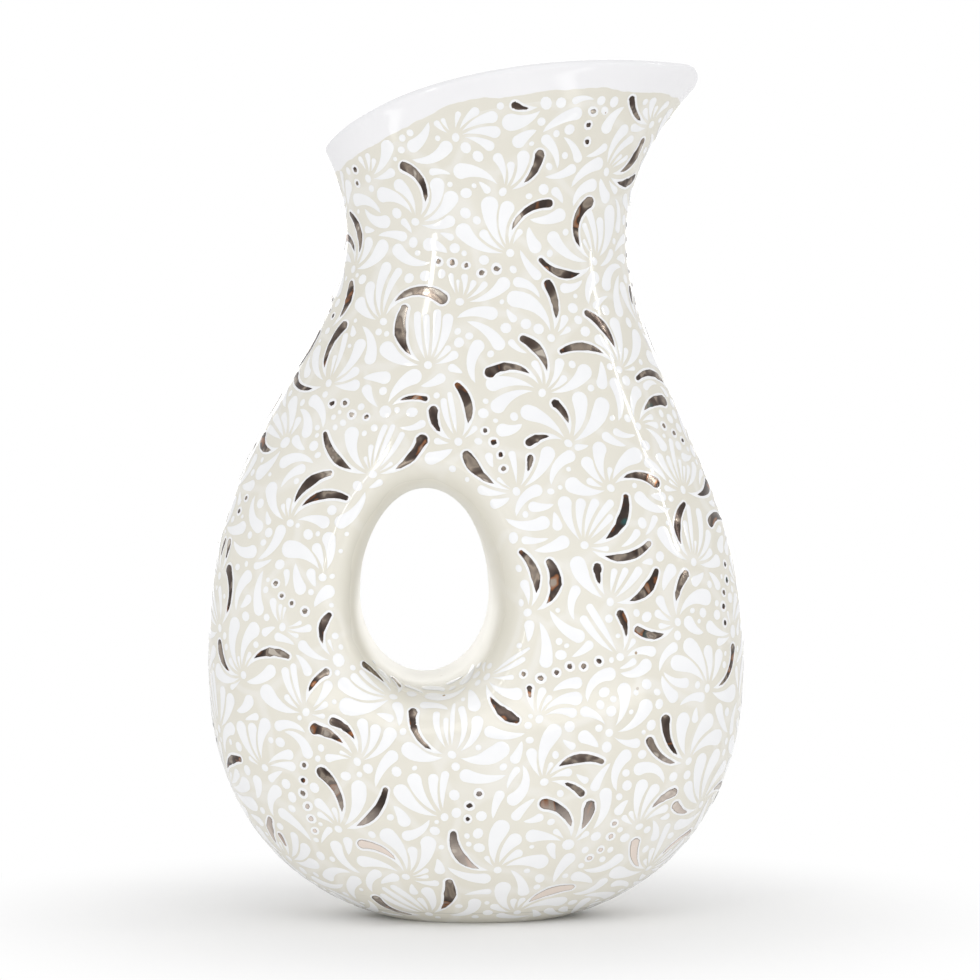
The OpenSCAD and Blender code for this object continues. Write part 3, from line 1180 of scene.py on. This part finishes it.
def worn_and_floor_reflection(tree, place):
    """Where the platinum is worn, at random, and where a reflection of the bright floor is painted, low on
    the jug.
    """
    height = add(tree, "ShaderNodeSeparateXYZ", {"Vector": place}).outputs["Z"]
    # Paler lower down on the jug: a painted reflection of the bright floor.
    low = ranged(tree, height, *FLOOR_REFLECTION_HEIGHTS, *FLOOR_REFLECTION_SHARES)
    worn = noise(tree, place, WORN_SPOTS, 1)
    return ranged(tree, worked(tree, "ADD", worn, low), *WORN_AND_REFLECTION_ENDS)


def platinum():
    """Fired platinum: mirror-like, with a dark edge; its dark colour is a painted reflection of dark
    surroundings, and it is pale where it is worn and, low on the jug, where a reflection of the bright
    floor is painted.
    """
    material, tree, shader = new_material("platinum_lustre")
    place = object_place(tree)
    # Pale where worn, and low on the jug a painted reflection of the bright floor.
    thin = worn_and_floor_reflection(tree, place)
    paled = mixed(tree, thin, platinum_and_reflection_zones(tree, place), WORN_AND_REFLECTED_PALE)
    tree.links.new(ranged(tree, thin, 0.0, 1.0, *METAL), shader.inputs["Metallic"])
    dark = ranged(tree, noted(tree, "near_edge"), *DARK_ENDS, 0.0, DARK_SHARE)
    tree.links.new(mixed(tree, dark, paled, DARK_EDGE), shader.inputs["Base Color"])
    smear = noise(tree, place, LUSTRE_SMEARS, 2)
    polish = ranged(tree, smear, 0.0, 1.0, *LUSTRE_POLISH)
    tree.links.new(polish, shader.inputs["Roughness"])
    return material


cream_glaze = body_glaze()
# The hole's lining is painted paler than the cream, as light in its shaded tunnel.
lining_glaze = fired("lining_glaze", LINING_PAINTED_LIGHTER, 0.0)[0]
white_glaze = fired("white_glaze", WHITE, GLAZE_RIPPLE)[0]
white_enamel = fired("white_enamel", ENAMEL, GLAZE_RIPPLE)[0]
bare_clay = fired("bare_clay", CLAY, CLAY_RIPPLE)[0]
lustre = platinum()
for piece in (front, back, liner, neck, base):
    piece.data.materials.append(lining_glaze if piece is liner else cream_glaze)
    piece.data.materials.append(white_glaze)
rim.data.materials.append(rim_glaze())
rim.data.materials.append(white_glaze)
foot.data.materials.append(cream_glaze)
foot.data.materials.append(bare_clay)

# How far each point of the rim lies below the mouth's edge, for its brushed line
below_mouth = rim.data.attributes.new("below_mouth", "FLOAT", "POINT")
for i, vertex in enumerate(rim.data.vertices):
    below_mouth.data[i].value = edge_over(*vertex.co) - vertex.co.z

teardrop, teardrop_points = ball_form(TEARDROP_SIDES, TEARDROP_RINGS, teardrop_edge)
ball, ball_points = ball_form(DOT_SIDES, DOT_RINGS, dot_edge)
for side in ("front", "back", "neck"):
    here = [s for s in strokes if region(s.middle()) == side]
    laid = [laid_stroke(teardrop_points, s, 0, ENAMEL_LEVELS) for s in here]
    painted_piece(side + "_white_strokes", teardrop, laid, white_enamel)
    laid = [laid_stroke(teardrop_points, s, HALO, LUSTRE_LEVELS) for s in here if s.lustre]
    painted_piece(side + "_lustre_strokes", teardrop, laid, lustre)
    here = [d for d in dots + rows if region(d[0]) == side]
    laid = [laid_dot(ball_points, d, 1, ENAMEL_LEVELS) for d in here]
    painted_piece(side + "_white_dots", ball, laid, white_enamel)
    here = [d for d in rows if region(d[0]) == side]
    laid = [laid_dot(ball_points, d, LUSTRE_DOT, LUSTRE_LEVELS) for d in here]
    painted_piece(side + "_lustre_dots", ball, laid, lustre)
for form in (teardrop, ball):
    bpy.data.objects.remove(form)

# The camera: where it looks, how far off, how far round and how high it stands, and what it takes in
CAMERA_AIM = Vector((0.0048, 0, 0.149))
CAMERA_AWAY = 1.3
CAMERA_TURN = math.radians(-1.5)
CAMERA_Z = 0.175
VIEW_W = 0.3433
SENSOR_W = 36
FARTHEST_SEEN = 50


def turned_to(aim, name, data, place):
    """A new camera or lamp at a place, turned to what it looks at."""
    made = bpy.data.objects.new(name, data)
    made.location = place
    made.rotation_euler = (Vector(aim) - Vector(place)).to_track_quat("-Z", "Y").to_euler()
    bpy.context.scene.collection.objects.link(made)
    return made


def camera():
    data = bpy.data.cameras.new("camera")
    data.sensor_width = SENSOR_W
    data.lens = SENSOR_W * CAMERA_AWAY / VIEW_W
    data.clip_end = FARTHEST_SEEN
    x = CAMERA_AIM.x + CAMERA_AWAY * math.sin(CAMERA_TURN)
    place = (x, -CAMERA_AWAY * math.cos(CAMERA_TURN), CAMERA_Z)
    bpy.context.scene.camera = turned_to(CAMERA_AIM, "camera", data, place)


def seen_white(tree):
    """One where the camera, a mirror or glass looks, nought where light is gathered."""
    path = add(tree, "ShaderNodeLightPath").outputs
    two = worked(tree, "ADD", path["Is Camera Ray"], path["Is Glossy Ray"])
    return worked(tree, "ADD", two, path["Is Transmission Ray"], use_clamp=True)


# The floor is this wide, and fades to white between these distances from the jug's middle
FLOOR_W = 16
FLOOR_FADE = (0.06, 0.21)
FLOOR_FINISH = (("Base Color", (0.95, 0.95, 0.95, 1)), ("Roughness", 0.7), ("Specular IOR Level", 0))
PURE_WHITE = (1, 1, 1, 1)


def studio_floor():
    """A pale floor that keeps the shadow and fades into the white background."""
    bpy.ops.mesh.primitive_plane_add(size=FLOOR_W, location=(0, 0, 0))
    floor = bpy.context.object
    floor.name = "floor"
    material, tree, shader = new_material("floor")
    for key, value in FLOOR_FINISH:
        shader.inputs[key].default_value = value
    place = object_place(tree)
    far = add(tree, "ShaderNodeVectorMath", {0: place}, operation="LENGTH")
    fade = ranged(tree, far.outputs["Value"], *FLOOR_FADE, interpolation_type="SMOOTHSTEP")
    share = worked(tree, "MULTIPLY", fade, seen_white(tree))
    glow = add(tree, "ShaderNodeEmission", {"Color": PURE_WHITE, "Strength": 1.0})
    mix = add(tree, "ShaderNodeMixShader", {0: share, 1: shader.outputs[0], 2: glow.outputs[0]})
    tree.links.new(mix.outputs[0], tree.nodes["Material Output"].inputs["Surface"])
    floor.data.materials.append(material)


def studio_sky(level):
    """Even light from all round, which looks white."""
    world = bpy.data.worlds.new("studio")
    bpy.context.scene.world = world
    world.use_nodes = True
    tree = world.node_tree
    dim = tree.nodes["Background"]
    dim.inputs["Color"].default_value = PURE_WHITE
    dim.inputs["Strength"].default_value = level
    white = add(tree, "ShaderNodeBackground", {"Color": PURE_WHITE, "Strength": 1.0})
    mix = add(tree, "ShaderNodeMixShader", {0: seen_white(tree), 1: dim.outputs[0], 2: white.outputs[0]})
    tree.links.new(mix.outputs[0], tree.nodes["World Output"].inputs["Surface"])


def soft_lamp(name, place, aim, width, height, power):
    data = bpy.data.lights.new(name, "AREA")
    data.shape = "RECTANGLE"
    data.size = width
    data.size_y = height
    data.energy = power
    turned_to(aim, name, data, place)


# Lamps: place, what they are turned to, width, height and power
LAMPS = (
    ("front_box", (0.2, -2.0, 0.2), (0, 0, 0.1), 2.6, 0.7, 2.4),
    ("top_box", (0, -0.9, 1.4), (0, 0, 0.1), 1.4, 0.8, 2.4),
    ("floor_card", (0, -0.33, 0.012), (0, 0, 0.07), 0.9, 0.06, 0.34),
    ("back_box", (0, 1.7, 0.3), (0, 0, 0.1), 1.8, 0.8, 6.4),
    ("left_strip", (-0.74, -1.12, 0.55), (0, 0, 0.2), 0.07, 0.5, 1.4),
    ("right_strip", (1.15, -0.25, 0.62), (0, 0, 0.15), 0.028, 0.5, 1.0),
)
SKY_LEVEL = 0.722

camera()
studio_floor()
studio_sky(SKY_LEVEL)
for lamp in LAMPS:
    soft_lamp(*lamp)
bpy.context.scene.view_settings.view_transform = "Standard"
